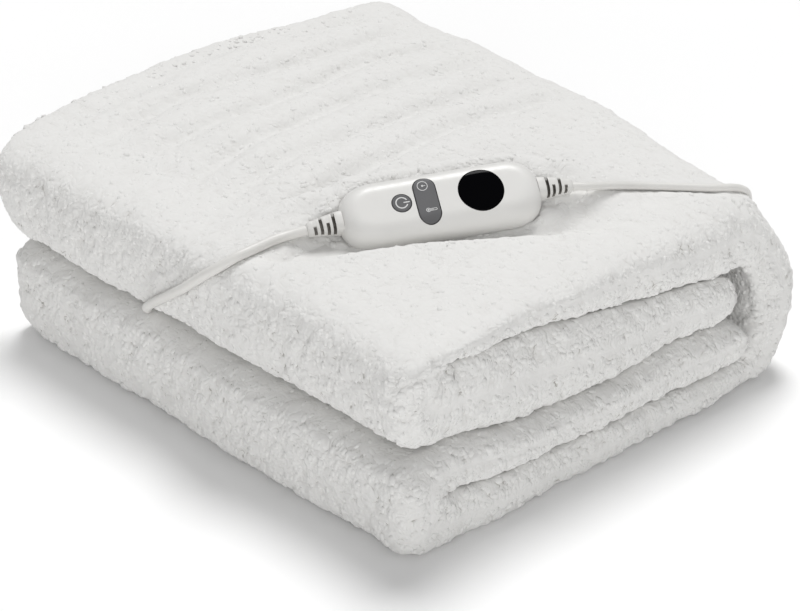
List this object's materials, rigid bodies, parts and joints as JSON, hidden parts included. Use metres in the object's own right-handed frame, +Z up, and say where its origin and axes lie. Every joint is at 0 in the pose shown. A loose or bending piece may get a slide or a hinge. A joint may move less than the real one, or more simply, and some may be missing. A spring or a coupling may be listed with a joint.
{
  "type": "electric heated blanket",
  "caption": "Folded plush electric heated blanket with an inline controller resting on top, its lead into the cloth and a coiled mains lead with a plug.",
  "frame": {"origin": "on the surface the blanket lies on, under the middle of the folded cloth's plan box", "axes": "+Z up; +X towards the lengthwise fold, -X towards the open hems; -Y towards the two front folds, +Y towards the single back fold"},
  "size_m": [0.4302, 0.4929, 0.1746],
  "materials": {
    "plush": "white high-pile plush",
    "housing_plastic": "warm white, satin",
    "display_plastic": "glossy black window",
    "key_plastic": "mid grey, satin",
    "relief_plastic": "soft warm white",
    "cord_sheath": "warm white flexible sheath, satin",
    "plug_plastic": "warm white, satin",
    "pin_metal": "nickel-plated"
  },
  "bodies": {
    "bundle": {"blanket": "plush", "controller_base": "housing_plastic", "controller_cover": "housing_plastic", "display_window": "display_plastic", "relief_mains_side": "relief_plastic", "relief_blanket_side": "relief_plastic", "blanket_lead": "cord_sheath", "mains_lead": "cord_sheath", "mains_lead_coil": "cord_sheath", "mains_lead_tail": "cord_sheath", "plug_body": "plug_plastic", "plug_pin_1": "pin_metal", "plug_pin_2": "pin_metal"},
    "power_key": {"power_button": "key_plastic"},
    "two_way_key": {"two_way_button": "key_plastic"}
  },
  "joints": [
    {"name": "power_press", "type": "slide", "parent": "bundle", "child": "power_key", "axis": [-0.4667, 0.3387, -0.817], "range_m": [0, 0.0008], "stiffness_N_per_m": 1500},
    {"name": "two_way_rock", "type": "hinge", "parent": "bundle", "child": "two_way_key", "pos_m": [0.09388, -0.07219, 0.16169], "axis": [0.4987, 0.8637, 0.0732], "range_deg": [-2.5, 2.5], "stiffness_Nm_per_rad": 0.2}
  ]
}
